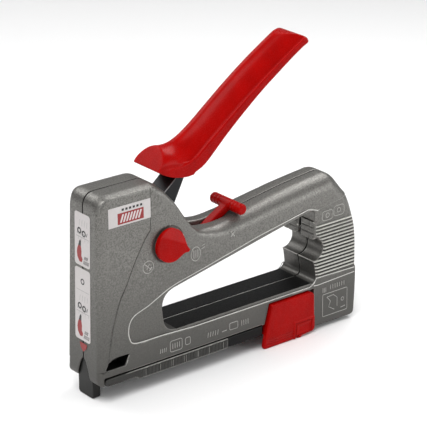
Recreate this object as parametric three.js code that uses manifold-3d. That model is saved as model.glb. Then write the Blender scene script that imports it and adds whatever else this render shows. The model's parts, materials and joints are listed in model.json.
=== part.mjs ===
// A lever-operated hand tacker: a two-shell die-cast body with a D-shaped finger opening, a red lever
// handle, a spring-driven hammer in the nose block, and a magazine that swings down from the body.
//
// Millimetres. x runs back from the front face, y across the tool from the seam between the two
// shells, and z up from the nose block's lower edge. The group at the end moves that frame to the
// middle of the tool's footprint, on the surface that it stands on.

import * as THREE from 'three';
import { mergeVertices } from 'three/addons/utils/BufferGeometryUtils.js';
import Module from 'manifold-3d';

const wasm = await Module();
wasm.setup();

// ---------------------------------------------------------------- driving dimensions

const LENGTH = 201.5;            // front face to the back of the rear column
const HALF_WIDTH = 17.2;         // of the body at its lower edge
const DRAFT_HEIGHT = 900;        // the sides lean inwards so that they would meet at this height
const NOSE_TOP = 117;
const STAND_HEIGHT = 10.7;       // the nose plate and the magazine head reach this far below z = 0
const PROUD_HALF_WIDTH = 19.4;   // of the widest pieces, the dial and the magazine head
const BODY_EDGE = 3;             // bevel along the body's side faces
const SEAM_GAP = 0.1;
const GAP = 0.3;                 // between neighbouring pieces

const RAIL_TOP = 5.2;            // lower face of the body over the magazine
const RAIL_FRONT = 3.4;
const FOOT_FRONT = 165.2;        // front face of the rear foot
const CHEEK_INNER = 14.2;        // the body's half width between the magazine head's cheeks

const CAVITY_HALF = 8.2;         // half width of the hollows that hold the mechanism
const NOSE_CAVITY_TOP = 113;

const LEVER_PIVOT = { x: 40, z: 98 };
const CLAW_REACH = 27;           // lever pivot to claw tip
const CLAW_ANGLE = 17;           // degrees that the claw points down at rest
const DIAL = { x: 52, z: 78, radius: 10.5 };
const LATCH_PIVOT = { x: 84, z: 69.5 };
const LATCH_BAR = { x: 109, z: 84.6, radius: 3.1, length: 28 };
const MAGAZINE_PIVOT = { x: 6, z: 2.5 };
const SCREWS = [
  { x: 30, z: 25 }, { x: 39, z: 62 }, { x: 72, z: 67 },
  { x: 140, z: 75.5 }, { x: 187, z: 58 }, { x: 183, z: 4 },
];

const CAST_ALUMINIUM = { color: 0x8b8984, roughness: 0.55, metalness: 0.6 };
const RED_PLASTIC = { color: 0xc4120c, roughness: 0.3, metalness: 0 };
const BLACK_STEEL = { color: 0x1c1c1f, roughness: 0.4, metalness: 0.7 };
const BRIGHT_STEEL = { color: 0xa8abb0, roughness: 0.3, metalness: 0.9 };
const DARK_STEEL = { color: 0x3b3a3a, roughness: 0.45, metalness: 0.8 };
const RUBBER = { color: 0x191919, roughness: 0.9, metalness: 0 };
const WHITE_VINYL = { color: 0xe6e4e2, roughness: 0.4, metalness: 0 };

// ---------------------------------------------------------------- solids

function toSolid(geometry) {
  const bare = geometry.clone();
  bare.deleteAttribute('normal');
  bare.deleteAttribute('uv');
  const merged = mergeVertices(bare, 1e-4);
  return new wasm.Manifold(new wasm.Mesh({
    numProp: 3,
    vertProperties: new Float32Array(merged.attributes.position.array),
    triVerts: new Uint32Array(merged.index.array),
  }));
}

function toGeometry(solid) {
  const mesh = solid.getMesh();
  const geometry = new THREE.BufferGeometry();
  geometry.setAttribute('position', new THREE.BufferAttribute(mesh.vertProperties, 3));
  geometry.setIndex(new THREE.BufferAttribute(mesh.triVerts, 1));
  geometry.computeVertexNormals();
  return geometry;
}

const join = (...solids) => solids.reduce((whole, piece) => whole.add(piece));
const cut = (whole, ...tools) => tools.reduce((rest, tool) => rest.subtract(tool), whole);

function block([x0, x1], [y0, y1], [z0, z1]) {
  const box = new THREE.BoxGeometry(x1 - x0, y1 - y0, z1 - z0);
  box.translate((x0 + x1) / 2, (y0 + y1) / 2, (z0 + z1) / 2);
  return toSolid(box);
}

// A round bar whose axis runs across the tool.
function crossBar({ x, z }, radius, [y0, y1], sides = 20) {
  const bar = new THREE.CylinderGeometry(radius, radius, y1 - y0, sides);
  bar.translate(x, (y0 + y1) / 2, z);
  return toSolid(bar);
}

// A round bar whose axis runs along the tool.
function longBar({ y, z }, radius, [x0, x1], sides = 12) {
  const bar = new THREE.CylinderGeometry(radius, radius, x1 - x0, sides);
  bar.rotateZ(Math.PI / 2);
  bar.translate((x0 + x1) / 2, y, z);
  return toSolid(bar);
}

// A side view, drawn in x and z, carried across the tool from y0 to y1.
function acrossGeometry(shape, [y0, y1], bevel = 0, curveSegments = 4) {
  const geometry = new THREE.ExtrudeGeometry(shape, {
    depth: y1 - y0 - 2 * bevel,
    bevelEnabled: bevel > 0,
    bevelThickness: bevel,
    bevelSize: bevel,
    bevelOffset: -bevel,
    bevelSegments: 2,
    curveSegments,
  });
  geometry.rotateX(Math.PI / 2);
  geometry.translate(0, y1 - bevel, 0);
  return geometry;
}

const across = (...view) => toSolid(acrossGeometry(...view));

// A front view, drawn in y and z, carried along the tool from x0 to x1.
function along(shape, [x0, x1]) {
  const geometry = new THREE.ExtrudeGeometry(shape, { depth: x1 - x0, bevelEnabled: false });
  const yzx = new THREE.Matrix4().makeBasis(
    new THREE.Vector3(0, 1, 0), new THREE.Vector3(0, 0, 1), new THREE.Vector3(1, 0, 0));
  geometry.applyMatrix4(yzx);
  geometry.translate(x0, 0, 0);
  return toSolid(geometry);
}

// The casting draft: every point moves towards the seam in proportion to its height.
function drafted(geometry) {
  const position = geometry.attributes.position;
  for (let i = 0; i < position.count; i += 1) {
    position.setY(i, position.getY(i) * (1 - position.getZ(i) / DRAFT_HEIGHT));
  }
  return geometry;
}

const points = (pairs) => pairs.map(([x, z]) => new THREE.Vector2(x, z));
const polygon = (pairs) => new THREE.Shape(points(pairs));
const bothSides = (make) => join(make(-1), make(1));
const span = (side, inner, outer) => (side < 0 ? [-outer, -inner] : [inner, outer]);

// A coil spring from one end point to the other.
function coil(start, end, { radius, wire, turns, stepsPerTurn = 11, sides = 5 }) {
  const axis = new THREE.Vector3().subVectors(end, start);
  const length = axis.length();
  const frame = new THREE.Quaternion().setFromUnitVectors(new THREE.Vector3(0, 0, 1), axis.normalize());
  class Helix extends THREE.Curve {
    getPoint(t, target = new THREE.Vector3()) {
      const angle = 2 * Math.PI * turns * t;
      const rise = wire + (length - 2 * wire) * t;
      target.set(radius * Math.cos(angle), radius * Math.sin(angle), rise);
      return target.applyQuaternion(frame).add(start);
    }
  }
  const section = new THREE.Shape();
  for (let i = 0; i < sides; i += 1) {
    const angle = (2 * Math.PI * i) / sides;
    const corner = [wire * Math.cos(angle), wire * Math.sin(angle)];
    if (i === 0) section.moveTo(...corner);
    else section.lineTo(...corner);
  }
  return new THREE.ExtrudeGeometry(section, { steps: turns * stepsPerTurn, extrudePath: new Helix() });
}

// ---------------------------------------------------------------- the assembly

const tacker = new THREE.Group();
tacker.position.set(-LENGTH / 2, 0, STAND_HEIGHT);

function addPart(name, geometry, { color, roughness, metalness }) {
  const material = new THREE.MeshStandardMaterial({ color, roughness, metalness });
  const mesh = new THREE.Mesh(geometry, material);
  mesh.name = name;
  tacker.add(mesh);
}

const addSolid = (name, solid, finish) => addPart(name, toGeometry(solid), finish);

// ---------------------------------------------------------------- body

const FRONT_LEAN = { low: { x: 0, z: 5 }, high: { x: 2.3, z: 108.5 } };

// Where the front face is at a height.
function frontFaceX(z) {
  const { low, high } = FRONT_LEAN;
  return low.x + ((high.x - low.x) * (z - low.z)) / (high.z - low.z);
}

function bodyOutline() {
  const outline = new THREE.Shape();
  outline.moveTo(3.6, 0);
  outline.lineTo(158, 0);
  outline.lineTo(164, -8);
  outline.lineTo(196, -8.4);
  outline.quadraticCurveTo(199.7, -8.4, 200.1, -4.6);
  outline.splineThru(points([
    [201.1, 12], [LENGTH, 30], [201.2, 45], [200, 55], [196.2, 71], [192, 78], [187.6, 84.2]]));
  outline.quadraticCurveTo(183.4, 90, 178, 90);
  outline.splineThru(points([[150, 86.9], [121, 82.2], [104, 79.3], [93, 78], [84.7, 78.5],
    [77, 79.7], [72.5, 82.2], [69, 85.6], [63.8, 93.1], [58, 102], [50.7, 110.6], [47, 114.2]]));
  outline.quadraticCurveTo(44.2, NOSE_TOP, 40.5, NOSE_TOP);
  outline.lineTo(10.5, NOSE_TOP);
  outline.quadraticCurveTo(2.5, NOSE_TOP, FRONT_LEAN.high.x, FRONT_LEAN.high.z);
  outline.lineTo(FRONT_LEAN.low.x, FRONT_LEAN.low.z);
  outline.quadraticCurveTo(0, 0, 3.6, 0);
  return outline;
}

function fingerOpening() {
  const opening = new THREE.Shape();
  opening.moveTo(58, 22.1);
  opening.lineTo(163.9, 22.1);
  opening.quadraticCurveTo(167.6, 22.1, 167.6, 25.8);
  opening.lineTo(166.4, 33.5);
  opening.lineTo(165.4, 36.3);
  opening.absarc(166.3, 43.4, 7.1, -1.45, 0.95, false);
  opening.quadraticCurveTo(167, 52.5, 166.9, 57);
  opening.lineTo(166.9, 66.5);
  opening.quadraticCurveTo(166.9, 71, 161, 69.8);
  opening.lineTo(56.5, 48.6);
  opening.quadraticCurveTo(47.2, 46.6, 47.4, 37);
  opening.lineTo(47.9, 32);
  opening.quadraticCurveTo(48.5, 22.1, 58, 22.1);
  return opening;
}

// The notch in each side of the body that takes a cheek of the magazine head.
const cheekNotch = polygon([
  [124.8, RAIL_TOP], [128.6, 18.3], [FOOT_FRONT, 18.3], [FOOT_FRONT, RAIL_TOP - 1], [124.5, RAIL_TOP - 1]]);

// The loading window near the nose, where the front of the staple strip shows.
function windowShape() {
  const shape = new THREE.Shape();
  shape.moveTo(4.4, 10.2);
  shape.lineTo(18.4, 10.2);
  shape.lineTo(21.6, 16.6);
  shape.lineTo(12.5, 16.6);
  shape.quadraticCurveTo(6, 16, 4.4, 10.2);
  return shape;
}

// The pointed arch in the front face that shows the nose plate.
function noseArch() {
  const arch = new THREE.Shape();
  arch.moveTo(-6.4, -2);
  arch.lineTo(6.4, -2);
  arch.quadraticCurveTo(5.4, 7, 0, 14.2);
  arch.quadraticCurveTo(-5.4, 7, -6.4, -2);
  return arch;
}

const noseCavity = polygon([
  [4.4, 33.7], [42, 33.7], [42, 46.5], [46, 51.3], [60, 54.2], [62, 86], [58.5, 94], [50.5, 104.5],
  [43, NOSE_CAVITY_TOP], [7.6, NOSE_CAVITY_TOP], [4.4, 105]]);
const leverSlot = polygon([[48, 101.4], [66, 116.5], [80, 116.5], [80, 83.5], [58, 83.5], [52, 92]]);
const latchSlot = polygon([[78.5, 64], [82.5, 63.2], [107, 80.2], [107, 92], [78.5, 92]]);
const gripCavity = polygon([[112, 64.5], [156, 73.5], [156, 82.5], [122, 77], [112, 75]]);
const rearCavity = polygon([
  [171.5, -3.5], [195.8, -3.5], [197.2, 30], [195.4, 55], [190, 69], [182, 79], [173, 77],
  [172.5, 56], [177.5, 51], [177.5, 38], [172, 33]]);

const boss = ({ x, z }) => crossBar({ x, z }, 4.6, [-HALF_WIDTH, HALF_WIDTH], 16);
const hollow = (shape, half) => across(shape, [-half, half]);

// Both shells as one solid, before the seam parts them.
function wholeBody() {
  const outer = toSolid(drafted(
    acrossGeometry(bodyOutline(), [-HALF_WIDTH, HALF_WIDTH], BODY_EDGE, 3)));
  const seatRibs = bothSides((side) => block([35, 46], span(side, 5, CAVITY_HALF + 1), [82.3, 84.3]));
  const cavities = cut(
    join(
      hollow(noseCavity, CAVITY_HALF),
      hollow(gripCavity, 10),
      hollow(rearCavity, 12.5),
    ),
    ...SCREWS.map(boss),
    seatRibs,
  );
  const hingeEar = (side) => join(
    crossBar(MAGAZINE_PIVOT, 2.2, span(side, 9, 12), 16),
    block([3.9, 8.1], span(side, 9, 12), [MAGAZINE_PIVOT.z, RAIL_TOP + 1]),
  );
  const carved = cut(
    outer,
    hollow(fingerOpening(), 30),
    block([RAIL_FRONT, FOOT_FRONT], [-30, 30], [-20, RAIL_TOP]),
    bothSides((side) => across(cheekNotch, span(side, CHEEK_INNER, 30))),
    cavities,
    block([7.2, 160], [-CAVITY_HALF, CAVITY_HALF], [RAIL_TOP - 1, 16.8]),
    block([1.2, 7.3], [-7.9, 7.9], [-2, 22.4]),
    block([2.8, 7.3], [-6.8, 6.8], [22.3, 96.5]),
    along(noseArch(), [-2, 1.3]),
    hollow(windowShape(), 30),
    hollow(leverSlot, 7.8),
    hollow(latchSlot, 3.3),
    crossBar(LEVER_PIVOT, 3.1, [-13.5, 13.5], 24),
    crossBar(LATCH_PIVOT, 1.7, [-8, 8], 16),
  );
  const eared = join(carved, bothSides(hingeEar));
  return cut(eared, bothSides((side) => crossBar(MAGAZINE_PIVOT, 1.3, span(side, 8.5, 12.5), 12)));
}

const body = wholeBody();
const leftSpace = block([-10, 220], [-40, -SEAM_GAP / 2], [-20, 140]);
const rightSpace = block([-10, 220], [SEAM_GAP / 2, 40], [-20, 140]);

const DIAL_SHAFT_RADIUS = 4;
const DETENT = { x: 45, z: 80 };
const SCREW = { shank: 1.8, head: 3.4, tip: -9.5, seat: 12.6, top: 15.1 };

addSolid('left_housing', cut(
  body.intersect(leftSpace),
  crossBar(DIAL, DIAL_SHAFT_RADIUS + 0.15, [-30, -5], 24),
  crossBar(DETENT, 1.8, [-30, -10], 12),
  ...SCREWS.map((at) => crossBar(at, SCREW.shank + 0.1, [SCREW.tip - 0.5, 5], 12)),
), CAST_ALUMINIUM);

addSolid('right_housing', cut(
  body.intersect(rightSpace),
  ...SCREWS.map((at) => crossBar(at, SCREW.shank + 0.2, [-5, 30], 12)),
  ...SCREWS.map((at) => crossBar(at, SCREW.head + GAP, [SCREW.seat - 0.2, 30], 16)),
), CAST_ALUMINIUM);

SCREWS.forEach((at, index) => {
  const screw = join(
    crossBar(at, SCREW.shank, [SCREW.tip, SCREW.seat + 0.5], 12),
    crossBar(at, SCREW.head, [SCREW.seat, SCREW.top], 16),
  );
  const socket = crossBar(at, 1.7, [SCREW.top - 1.6, SCREW.top + 1], 6);
  addSolid(`housing_screw_${index + 1}`, cut(screw, socket), DARK_STEEL);
});

// ---------------------------------------------------------------- nose and driver

const BLADE_X = [3.1, 4.3];

addSolid('nose_plate', cut(
  block([1.5, 6.8], [-7.5, 7.5], [-STAND_HEIGHT, 22]),
  block([2.8, 8], [-6.5, 6.5], [-STAND_HEIGHT - 1, 23]),
), DARK_STEEL);

addSolid('nose_guide', block([4.7, 6.6], [-6.2, 6.2], [-10.4, -0.6]), BRIGHT_STEEL);
addSolid('driver_blade', block(BLADE_X, [-6.1, 6.1], [-10.4, 78]), BRIGHT_STEEL);

// The hammer: a strap down the front, a head with the slot that the lever's claw lifts, and a
// shelf that the main spring presses down.
addSolid('hammer', cut(
  join(
    block([4.7, 8.7], [-7.4, 7.4], [40, 86]),
    block([8.6, 16.5], [-7.4, 7.4], [82.6, 96.6]),
    block([8.6, 33], [-7.4, 7.4], [40, 44]),
  ),
  block([10.2, 18], [-6, 6], [86.6, 93.9]),
), BRIGHT_STEEL);

const SPRING_X = 24;
addPart('main_spring', coil(
  new THREE.Vector3(SPRING_X, 0, 44.2), new THREE.Vector3(SPRING_X, 0, 79),
  { radius: 5.9, wire: 0.95, turns: 6, stepsPerTurn: 12, sides: 6 },
), BRIGHT_STEEL);

addSolid('spring_seat', join(
  block([14, 46], [-7.8, 7.8], [79.2, 82]),
  toSolid(new THREE.CylinderGeometry(3.6, 3.2, 4, 14).rotateX(Math.PI / 2).translate(SPRING_X, 0, 77.4)),
), DARK_STEEL);

addSolid('bumper', block([10, 34], [-7.6, 7.6], [34, 39.6]), RUBBER);

// ---------------------------------------------------------------- lever and handle

// The grip's lower edge, from its front corner to its rear tip.
const GRIP_LOWER = [[47.4, 122.3], [52, 119.4], [57, 117.2], [63, 115.4], [73.2, 115.1],
  [79, 117.8], [84.8, 122.5], [99.8, 136.2], [122.6, 154.6], [145.6, 170.4], [156.5, 177.2]];
// The crest of the grip's rounded back, from the rear tip to the front face.
const GRIP_CREST = [[161.6, 179.6], [157, 183], [150.5, 185], [145, 184.6], [137.4, 181.2],
  [122, 172], [106.8, 161.3], [91.7, 149.8], [84.2, 144], [76.5, 138.8], [70, 135.4], [65, 133.4],
  [61, 132.7], [55.9, 133.2]];
// The upper edge of the outer rim, from the rear to the front.
const GRIP_RIM = [[161.6, 179.6], [156.5, 180.2], [146.4, 176], [131, 166], [108.2, 150.4],
  [85.6, 133.6], [78.2, 127.8], [72.2, 124.2], [65.6, 122.8], [60.5, 123.2], [56, 125], [52.5, 127.6]];

const lifted = (line, dz) => line.map(([x, z]) => [x, z + dz]);
const GRIP_HALF = 13;
const BACK_HALF = 9.6;
const ARM_HALF = 7;

// The stretch of the lower edge that the steel arm follows inside the grip.
const armRun = GRIP_LOWER.slice(3, 9);
const armSpace = polygon([...lifted(armRun, -4), ...lifted(armRun, 7.8).reverse()]);

addSolid('handle_grip', cut(
  join(
    across(polygon([...GRIP_LOWER, ...GRIP_RIM]), [-GRIP_HALF, GRIP_HALF], 1.2),
    across(polygon([...GRIP_LOWER, ...GRIP_CREST]), [-BACK_HALF, BACK_HALF], 3),
  ),
  across(armSpace, [-ARM_HALF - GAP, ARM_HALF + GAP]),
), RED_PLASTIC);

function claw() {
  const shape = new THREE.Shape();
  shape.moveTo(0, -5);
  shape.lineTo(0, 5);
  shape.lineTo(-CLAW_REACH, 2.3);
  shape.absarc(-CLAW_REACH, 0, 2.3, Math.PI / 2, -Math.PI / 2, false);
  const geometry = acrossGeometry(shape, [-5.5, 5.5]);
  geometry.rotateY(THREE.MathUtils.degToRad(-CLAW_ANGLE));
  geometry.translate(LEVER_PIVOT.x, 0, LEVER_PIVOT.z);
  return toSolid(geometry);
}

const armOutline = polygon([
  [40, 91.6], [44, 91.8], [60, 96], [63.4, 98.5], [70.1, 112], [72.5, 119], [66, 119], [64.2, 113.8],
  [57, 107.8], [50, 101.9], [46, 103], [40, 104.4]]);
const armInGrip = polygon([...lifted(armRun, 1), ...lifted(armRun, 7.4).reverse()]);

addSolid('lever_arm', cut(
  join(
    crossBar(LEVER_PIVOT, 6.5, [-ARM_HALF, ARM_HALF], 24),
    claw(),
    across(armOutline, [-ARM_HALF, ARM_HALF]),
    across(armInGrip, [-ARM_HALF, ARM_HALF]),
  ),
  crossBar(LEVER_PIVOT, 3.15, [-20, 20], 24),
), BLACK_STEEL);

addSolid('lever_pivot_pin', crossBar(LEVER_PIVOT, 3, [-13.2, 13.2], 24), BRIGHT_STEEL);

addPart('lever_return_spring', coil(
  new THREE.Vector3(28.4, 0, 100.2), new THREE.Vector3(28.4, 0, NOSE_CAVITY_TOP - GAP),
  { radius: 2.7, wire: 0.45, turns: 5, stepsPerTurn: 10 },
), BRIGHT_STEEL);

// ---------------------------------------------------------------- force selector

function dialOutline() {
  const pointer = { angle: THREE.MathUtils.degToRad(-26), reach: 13.4, radius: 1.1 };
  const spread = Math.acos((DIAL.radius - pointer.radius) / (pointer.reach - pointer.radius));
  const tip = {
    x: DIAL.x + (pointer.reach - pointer.radius) * Math.cos(pointer.angle),
    z: DIAL.z + (pointer.reach - pointer.radius) * Math.sin(pointer.angle),
  };
  const shape = new THREE.Shape();
  shape.absarc(DIAL.x, DIAL.z, DIAL.radius,
    pointer.angle + spread, pointer.angle + 2 * Math.PI - spread, false);
  shape.absarc(tip.x, tip.z, pointer.radius, pointer.angle - spread, pointer.angle + spread, false);
  return shape;
}

addSolid('selector_dial', join(
  across(dialOutline(), [-PROUD_HALF_WIDTH, -16.05], 0.8, 14),
  crossBar(DIAL, DIAL_SHAFT_RADIUS, [-16.6, -8.6], 24),
  crossBar(DIAL, 2.4, [-9, -4.7], 16),
), RED_PLASTIC);

const camCentre = { x: DIAL.x + 1.2, z: DIAL.z };
addSolid('dial_cam', cut(
  crossBar(camCentre, 4.9, [-7.9, -4.9], 20),
  crossBar(DIAL, 2.5, [-10, 0], 16),
), BRIGHT_STEEL);

const ball = new THREE.SphereGeometry(1.5, 12, 8).translate(DETENT.x, -14.4, DETENT.z);
addSolid('detent_ball', toSolid(ball), BRIGHT_STEEL);
addPart('detent_spring', coil(
  new THREE.Vector3(DETENT.x, -12.8, DETENT.z), new THREE.Vector3(DETENT.x, -10.2, DETENT.z),
  { radius: 1.1, wire: 0.22, turns: 3, stepsPerTurn: 8 },
), BRIGHT_STEEL);

// ---------------------------------------------------------------- handle latch

function latchStem() {
  const run = Math.hypot(LATCH_BAR.x - LATCH_PIVOT.x, LATCH_BAR.z - LATCH_PIVOT.z);
  const slope = Math.atan2(LATCH_BAR.z - LATCH_PIVOT.z, LATCH_BAR.x - LATCH_PIVOT.x);
  const stem = new THREE.BoxGeometry(run, 5.8, 4.2);
  stem.translate(run / 2, 0, 0);
  stem.rotateY(-slope);
  stem.translate(LATCH_PIVOT.x, 0, LATCH_PIVOT.z);
  return toSolid(stem);
}

addSolid('handle_latch', cut(
  join(
    crossBar(LATCH_PIVOT, 3.8, [-2.9, 2.9], 20),
    latchStem(),
    crossBar(LATCH_BAR, LATCH_BAR.radius, [-LATCH_BAR.length / 2, LATCH_BAR.length / 2], 18),
  ),
  crossBar(LATCH_PIVOT, 1.7, [-8, 8], 16),
), RED_PLASTIC);
addSolid('latch_pin', crossBar(LATCH_PIVOT, 1.6, [-7.7, 7.7], 16), BRIGHT_STEEL);

// ---------------------------------------------------------------- magazine

const RAIL_BOTTOM = -1.7;        // behind the step near the nose
const RAIL_REAR = 123.4;

function magazineSide() {
  const { x, z } = MAGAZINE_PIVOT;
  const shape = new THREE.Shape();
  shape.moveTo(x, z - 2.4);
  shape.lineTo(26, z - 2.4);
  shape.lineTo(28.3, RAIL_BOTTOM);
  shape.lineTo(RAIL_REAR, RAIL_BOTTOM);
  shape.lineTo(RAIL_REAR, z + 2.4);
  shape.lineTo(x, z + 2.4);
  shape.absarc(x, z, 2.4, Math.PI / 2, (3 * Math.PI) / 2, false);
  return shape;
}

addSolid('magazine_channel', cut(
  join(
    across(magazineSide(), [-HALF_WIDTH + 0.1, HALF_WIDTH - 0.1], 0.6),
    block([RAIL_REAR - 1, 149.5], [-8, 8], [RAIL_BOTTOM, 4.2]),
    block([118.5, RAIL_REAR], [-5.6, 5.6], [3, 13.4]),
  ),
  block([0, 9.6], [-12.3, 12.3], [-5, 10]),
  block([14, 116], [-13.4, 13.4], [-5, 2.2]),
  bothSides((side) => crossBar(MAGAZINE_PIVOT, 1.3, span(side, 12, 16), 12)),
  longBar({ y: 0, z: 9.3 }, 1.65, [110, 130]),
), CAST_ALUMINIUM);

['left', 'right'].forEach((name, index) => {
  const side = index === 0 ? -1 : 1;
  const pin = crossBar(MAGAZINE_PIVOT, 1.2, span(side, 8.8, 15.8), 12);
  addSolid(`magazine_pin_${name}`, pin, BRIGHT_STEEL);
});

addSolid('staple_rail', cut(
  block([8, 118], [-5.6, 5.6], [5.2, 13.4]),
  block([7, 119], [-4.6, 4.6], [5, 12.4]),
  block([7, 110], [-1.1, 1.1], [12, 14]),
), BRIGHT_STEEL);

// The pusher straddles the rail; a web through the rail's slot holds the block that the spring pushes.
addSolid('pusher', cut(
  block([12, 30], [-7.2, 7.2], [6, 15.6]),
  cut(
    block([11, 31], [-5.9, 5.9], [5, 13.7]),
    block([11, 31], [-0.8, 0.8], [9.3, 14]),
    block([12, 30], [-3.9, 3.9], [6.2, 11.9]),
  ),
  longBar({ y: 0, z: 9.3 }, 1.8, [5, 35]),
), DARK_STEEL);

addSolid('pusher_rod', longBar({ y: 0, z: 9.3 }, 1.5, [9.5, RAIL_REAR - 0.3]), BRIGHT_STEEL);
addPart('pusher_spring', coil(
  new THREE.Vector3(30.3, 0, 9.3), new THREE.Vector3(118.2, 0, 9.3),
  { radius: 2.5, wire: 0.35, turns: 15, stepsPerTurn: 8 },
), BRIGHT_STEEL);

function headSide() {
  const shape = new THREE.Shape();
  shape.moveTo(124.8, -STAND_HEIGHT);
  shape.lineTo(152.2, -STAND_HEIGHT);
  shape.lineTo(154.6, -9.5);
  shape.lineTo(161.9, -9.1);
  shape.quadraticCurveTo(164.3, -8.6, 164.4, -6);
  shape.lineTo(164, 14);
  shape.quadraticCurveTo(163.8, 17.6, 160.4, 17.6);
  shape.lineTo(129.3, 17.6);
  shape.lineTo(123.8, -4);
  shape.lineTo(122.9, -9);
  shape.quadraticCurveTo(122.9, -STAND_HEIGHT, 124.8, -STAND_HEIGHT);
  return shape;
}

const BUTTON = { x: [149, 161.6], z: [-8.4, -0.7], spring: { x: 155.3, z: -4.6 } };

addSolid('magazine_head', cut(
  across(headSide(), [-PROUD_HALF_WIDTH, PROUD_HALF_WIDTH], 0.9),
  block([110, 170], [-CHEEK_INNER - GAP, CHEEK_INNER + GAP], [4.6, 30]),
  block([110, 149.9], [-8.3, 8.3], [RAIL_BOTTOM - GAP, 10]),
  block([110, RAIL_REAR + GAP], [-HALF_WIDTH - GAP, HALF_WIDTH + GAP], [RAIL_BOTTOM - GAP, 10]),
  bothSides((side) => block(
    [BUTTON.x[0] - GAP, BUTTON.x[1] + GAP], span(side, 12.4, 30),
    [BUTTON.z[0] - GAP, BUTTON.z[1] + GAP])),
  bothSides((side) => crossBar(BUTTON.spring, 2.4, span(side, 9, 15), 12)),
), RED_PLASTIC);

['left', 'right'].forEach((name, index) => {
  const side = index === 0 ? -1 : 1;
  const button = block(BUTTON.x, span(side, 14.6, PROUD_HALF_WIDTH), BUTTON.z);
  addSolid(`release_button_${name}`, button, RED_PLASTIC);
  addPart(`button_spring_${name}`, coil(
    new THREE.Vector3(BUTTON.spring.x, side * 9.2, BUTTON.spring.z),
    new THREE.Vector3(BUTTON.spring.x, side * 14.4, BUTTON.spring.z),
    { radius: 1.6, wire: 0.28, turns: 4, stepsPerTurn: 8 },
  ), BRIGHT_STEEL);
});

// ---------------------------------------------------------------- stickers

const LABEL_THICKNESS = 0.2;

function sideLabel() {
  const inner = HALF_WIDTH + 0.05;
  const shape = polygon([[9.3, 98], [39.2, 98], [39.2, 109.9], [9.3, 109.9]]);
  return toSolid(drafted(acrossGeometry(shape, [-inner - LABEL_THICKNESS, -inner])));
}

function frontLabel(z0, z1) {
  const near = LABEL_THICKNESS + 0.05;
  const shape = polygon([
    [frontFaceX(z0) - near, z0], [frontFaceX(z0) - 0.05, z0],
    [frontFaceX(z1) - 0.05, z1], [frontFaceX(z1) - near, z1]]);
  return across(shape, [-7.5, 7.5]);
}

addSolid('side_label', sideLabel(), WHITE_VINYL);
addSolid('front_label_upper', frontLabel(72.3, 104.8), WHITE_VINYL);
addSolid('front_label_lower', frontLabel(25.5, 70.6), WHITE_VINYL);

export default tacker;
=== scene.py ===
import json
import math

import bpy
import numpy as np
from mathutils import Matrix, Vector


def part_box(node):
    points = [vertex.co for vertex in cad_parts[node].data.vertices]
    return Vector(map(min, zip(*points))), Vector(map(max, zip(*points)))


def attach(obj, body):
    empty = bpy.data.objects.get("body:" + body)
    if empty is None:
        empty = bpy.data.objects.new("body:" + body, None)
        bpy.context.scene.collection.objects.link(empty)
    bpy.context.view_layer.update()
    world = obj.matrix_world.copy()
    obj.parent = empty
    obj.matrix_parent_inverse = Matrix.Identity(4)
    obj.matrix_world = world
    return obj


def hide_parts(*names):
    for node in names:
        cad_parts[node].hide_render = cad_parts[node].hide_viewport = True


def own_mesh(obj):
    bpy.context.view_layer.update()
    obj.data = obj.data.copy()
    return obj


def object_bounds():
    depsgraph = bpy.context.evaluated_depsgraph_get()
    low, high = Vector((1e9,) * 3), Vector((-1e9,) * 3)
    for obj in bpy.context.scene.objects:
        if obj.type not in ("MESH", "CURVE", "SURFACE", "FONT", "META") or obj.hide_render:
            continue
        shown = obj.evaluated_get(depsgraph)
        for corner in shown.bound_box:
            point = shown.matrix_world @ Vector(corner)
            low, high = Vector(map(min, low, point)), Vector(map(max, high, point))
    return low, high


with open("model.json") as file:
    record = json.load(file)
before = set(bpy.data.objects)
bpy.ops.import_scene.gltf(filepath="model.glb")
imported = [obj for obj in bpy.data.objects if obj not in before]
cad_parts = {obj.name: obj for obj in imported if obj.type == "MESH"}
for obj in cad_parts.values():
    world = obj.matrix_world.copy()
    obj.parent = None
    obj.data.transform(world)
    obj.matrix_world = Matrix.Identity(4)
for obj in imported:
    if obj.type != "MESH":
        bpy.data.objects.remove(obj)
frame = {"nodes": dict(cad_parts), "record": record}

# The finished look of a lever-operated hand tacker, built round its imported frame.
#
# Shapes are drawn in tool millimetres: x runs back from the front face, y across the tool with the
# force selector on the -y side, and z up from the nose block's lower edge. to_frame() puts them in
# the frame's metres. Castings and mouldings are fields of signed distances, negative inside the
# material, whose zero surface becomes the mesh, so that every edge can carry its own radius.

import openvdb
from mathutils import Vector

# ---- places from the frame

MM = 0.001
STAND_HEIGHT = 10.7
CAD_LOW, CAD_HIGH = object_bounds()
ORIGIN = np.array([CAD_LOW.x, 0.0, CAD_LOW.z + STAND_HEIGHT * MM])


def to_frame(points):
    """Tool millimetres to the frame's metres."""
    return np.asarray(points, float) * MM + ORIGIN


def node_box(node):
    """A node's lowest and highest corners in tool millimetres."""
    return [(np.array(corner) - ORIGIN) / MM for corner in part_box(node)]


def node_centre(node):
    """The middle of a node in the side view."""
    low, high = node_box(node)
    return (low[0] + high[0]) / 2, (low[2] + high[2]) / 2


LEVER_PIVOT = node_centre("lever_pivot_pin")
LATCH_PIVOT = node_centre("latch_pin")
MAGAZINE_PIVOT = node_centre("magazine_pin_left")
SCREWS = [node_centre(f"housing_screw_{number}") for number in range(1, 7)]

# ---- driving dimensions

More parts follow.
